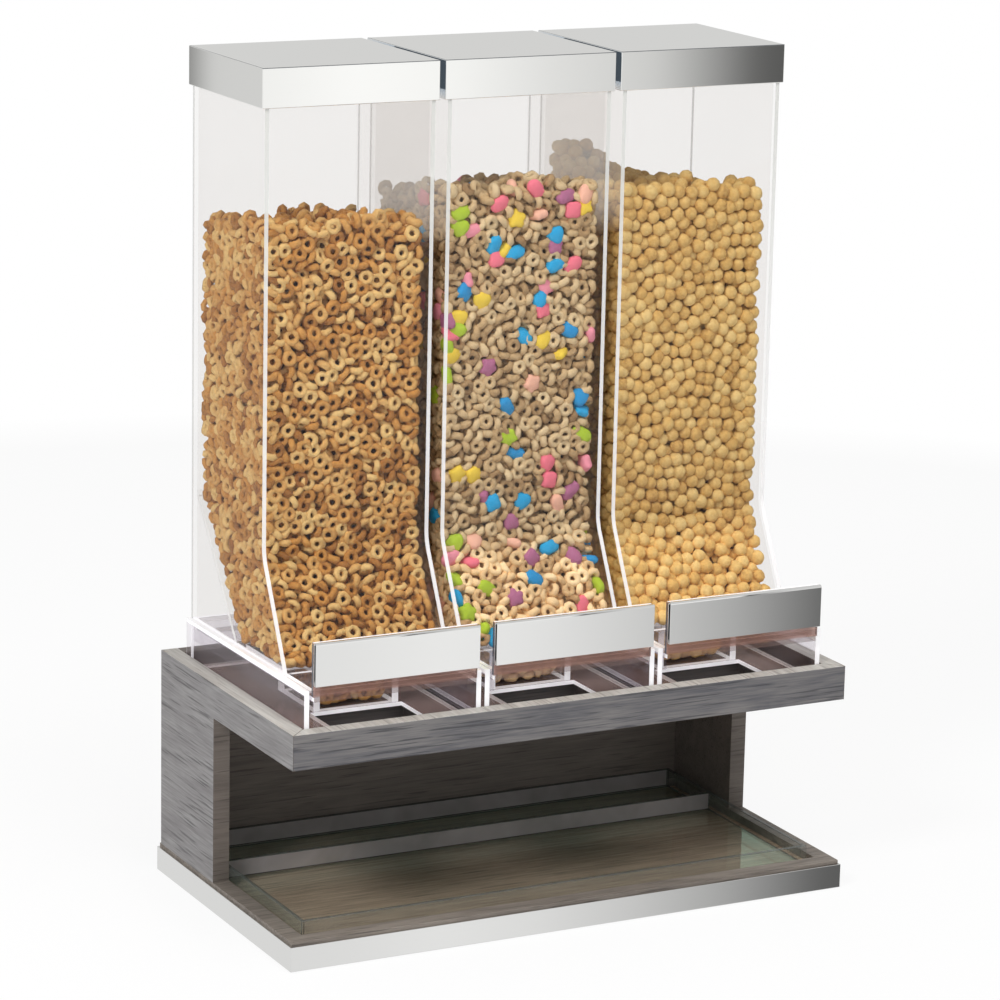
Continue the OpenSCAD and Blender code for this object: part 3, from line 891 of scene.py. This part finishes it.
def make_contents():
    rng = np.random.default_rng(SEED)
    gold = cereal("toasted_grain", srgb(230, 193, 127), srgb(202, 144, 72), srgb(121, 66, 24))
    beige = cereal("sweet_grain", srgb(226, 201, 158), srgb(202, 171, 126), srgb(134, 99, 62), painted_light_below=1.55)
    pale = cereal("pale_grain", srgb(238, 208, 141), srgb(218, 177, 104), srgb(164, 113, 54), 300.0, 0.0016,
                  own_share=0.34, painted_light_below=1.25)
    toasted = ring_kind("toasted_rings", gold, rng, radius=0.0040, tube=0.0023, height=0.0027, flat=0.42)
    sweet = ring_kind("sweet_rings", beige, rng, radius=0.0037, tube=0.0024, height=0.0029, flat=0.30)
    balls = ball_kind("grain_balls", pale, rng, radius=0.0054)
    bit_tones = [sugar("sugar_" + name, srgb(*tone)) for name, tone in SUGAR_TONES.items()]
    bit_shapes = [ball(20, 7, 0.0067, rng, squash=0.52, petals=petals, petal=petal, lumps=0.02, pillow=0.45)
                  for petals, petal in BIT_OUTLINES]
    lumped = heaped(0.512, 0.493, lump=0.037, lump_x=-0.045, lump_y=0.085)
    fill_bin("left", toasted, heaped(0.502, 0.487), None, rng)
    fill_bin("middle", sweet, heaped(0.520, 0.501), (bit_shapes, bit_tones), rng)
    fill_bin("right", balls, lumped, None, rng)


# ---- Studio ----


# Brightness of the room in the mirror of the steel, by compass angle from the front in degrees to the right:
# the upper part of its walls, the lower part, and its ceiling
ROOM_HIGH = ((-180, 0.64), (-156, 0.64), (-90, 0.80), (-30, 0.90), (24, 0.90), (25.2, 1.0), (26.4, 0.99),
             (27.8, 0.80), (28.4, 0.72), (29.05, 0.69), (29.65, 0.62), (30.2, 0.43), (30.77, 0.15),
             (31.35, 0.04), (33, 0.06), (45, 0.40), (60, 0.70), (110, 0.65), (180, 0.65))
ROOM_LOW = ((-180, 0.76), (-60, 0.85), (24.6, 0.79), (27.3, 0.92), (28.6, 0.77), (29.8, 0.63), (30.7, 0.50),
            (31.2, 0.36), (31.7, 0.22), (32.2, 0.12), (34, 0.10), (45, 0.40), (60, 0.75), (180, 0.76))
CEILING = 0.62
# Where these parts meet, by the sine of the angle above the horizon
LOW_TO_HIGH = (-0.24, -0.18)
HIGH_TO_CEILING = (0.25, 0.45)
# A narrow dark post in the room, which the rear end of the left lid's side mirrors. It is dark up to the
# first angle from its middle, and from the second the wall is as bright as without it.
POST_ANGLE = -158.0
POST_DARK = 0.77
POST_PAST = 1.26
POST_TONE = 0.2
AMBIENT = 0.48
# The camera sees the floor as white beyond the second of these distances, and nearer by this share at least
FLOOR_FADE = (0.5, 1.6)
FLOOR_WHITE = 0.86
# Each lamp's place, size and power
LAMPS = {
    "key": ((-2.1, -1.2, 2.2), 0.9, 45.0),
    "fill": ((0.2, -2.6, 4.2), 1.4, 34.0),
    "top": ((0.1, -0.7, 2.5), 1.2, 16.0),
}


def room_tone(level):
    """A light grey with a trace of warmth."""
    return level, level, level * 0.985, 1


def make_world():
    """White to the camera and through glass, soft grey light, and for the steel a bright room with a dark
    side."""
    world = bpy.data.worlds.new("studio")
    world.use_nodes = True
    bpy.context.scene.world = world
    sky = Nodes(world.node_tree)
    sky.tree.nodes.clear()
    place = sky.node("TexCoord").outputs["Generated"]
    x, y, z = sky.node("SeparateXYZ", {"Vector": place}).outputs
    angle = sky.math("ARCTAN2", x, sky.math("MULTIPLY", y, -1.0))
    share = sky.rise(angle, -math.pi, math.pi)

    def wall(room):
        return sky.ramp(share, *((turn / 360 + 0.5, room_tone(level)) for turn, level in room))

    from_post = sky.math("ABSOLUTE", sky.math("SUBTRACT", angle, math.radians(POST_ANGLE)))
    post = sky.rise(from_post, math.radians(POST_DARK), math.radians(POST_PAST), POST_TONE)
    upper = sky.node("VectorMath", {0: wall(ROOM_HIGH), "Scale": post}, operation="SCALE").outputs["Vector"]
    walls = sky.mix(sky.rise(z, *LOW_TO_HIGH), wall(ROOM_LOW), upper)
    mirrored = sky.mix(sky.rise(z, *HIGH_TO_CEILING), walls, room_tone(CEILING))

    def background(colour, strength):
        return sky.node("Background", {"Color": colour, "Strength": strength}).outputs["Background"]

    white = (1, 1, 1, 1)
    path = sky.node("LightPath").outputs
    light = sky.shade(path["Is Glossy Ray"], background(white, AMBIENT), background(mirrored, 1.0))
    seen = sky.math("MAXIMUM", path["Is Camera Ray"], path["Is Transmission Ray"])
    sky.node("OutputWorld", {"Surface": sky.shade(seen, light, background(white, 1.0))})


def make_lamps():
    aim = Vector((0, 0, 0.28))
    for name, (place, size, power) in LAMPS.items():
        lamp = bpy.data.lights.new(name, "AREA")
        lamp.shape = "DISK"
        lamp.size = size
        lamp.energy = power
        made = bpy.data.objects.new(name, lamp)
        made.location = place
        made.rotation_euler = (aim - Vector(place)).to_track_quat("-Z", "Y").to_euler()
        made.visible_glossy = False
        bpy.context.scene.collection.objects.link(made)


def make_floor():
    """A pale floor that is white to the camera away from the object and keeps its shadow."""
    paint = Paint("floor")
    away = paint.node("VectorMath", {0: paint.place}, operation="LENGTH").outputs["Value"]
    bare = paint.math("MAXIMUM", paint.rise(away, *FLOOR_FADE), FLOOR_WHITE)
    speck = paint.noise(paint.place, 30, 2)
    pale, greyer = (0.9, 0.9, 0.9, 1), (0.85, 0.85, 0.85, 1)
    paint.set(Base_Color=paint.mix(paint.math("MULTIPLY", speck, 0.1), pale, greyer), Roughness=0.9)
    glow = paint.node("Emission", {"Color": (1, 1, 1, 1), "Strength": 1.0}).outputs["Emission"]
    path = paint.node("LightPath").outputs
    seen = paint.math("MAXIMUM", path["Is Camera Ray"], path["Is Transmission Ray"])
    both = paint.shade(paint.math("MULTIPLY", bare, seen), paint.shader.outputs["BSDF"], glow)
    paint.put(paint.output.inputs["Surface"], both)
    bm = bmesh.new()
    bmesh.ops.create_circle(bm, cap_ends=True, radius=12, segments=64)
    mesh = bpy.data.meshes.new("floor")
    bm.to_mesh(mesh)
    bm.free()
    mesh.materials.append(paint.material)
    floor = bpy.data.objects.new("floor", mesh)
    floor.visible_glossy = False
    bpy.context.scene.collection.objects.link(floor)


# The camera that took the photograph, solved from the corners of the lids, the shelf and the base
CAMERA_PLACE = Vector((-1.31157, -2.51342, 0.97803))
CAMERA_LENS = 145.76
CAMERA_YAW, CAMERA_PITCH, CAMERA_ROLL = (math.radians(angle) for angle in (-27.4657, -13.6910, 1.2358))


def make_camera():
    camera = bpy.data.cameras.new("camera")
    camera.lens = CAMERA_LENS
    camera.sensor_width = 36
    forward = Vector((math.sin(-CAMERA_YAW) * math.cos(CAMERA_PITCH),
                      math.cos(CAMERA_YAW) * math.cos(CAMERA_PITCH), math.sin(CAMERA_PITCH)))
    right = forward.cross(Vector((0, 0, 1))).normalized()
    up = right.cross(forward)
    across = right * math.cos(CAMERA_ROLL) + up * math.sin(CAMERA_ROLL)
    upward = up * math.cos(CAMERA_ROLL) - right * math.sin(CAMERA_ROLL)
    turn = Matrix((across, upward, -forward)).transposed()
    made = bpy.data.objects.new("camera", camera)
    made.matrix_world = Matrix.LocRotScale(CAMERA_PLACE, turn, None)
    bpy.context.scene.collection.objects.link(made)
    bpy.context.scene.camera = made


make_camera()
make_world()
make_lamps()
make_floor()
make_stand()
make_tray()
for name in BAYS:
    make_hopper(name)
    make_channel(name)
    make_slide(name)
    make_lid(name)
    make_label_holder(name)
make_contents()
bpy.context.scene.view_settings.view_transform = "Standard"
bpy.context.scene.cycles.transparent_max_bounces = 40
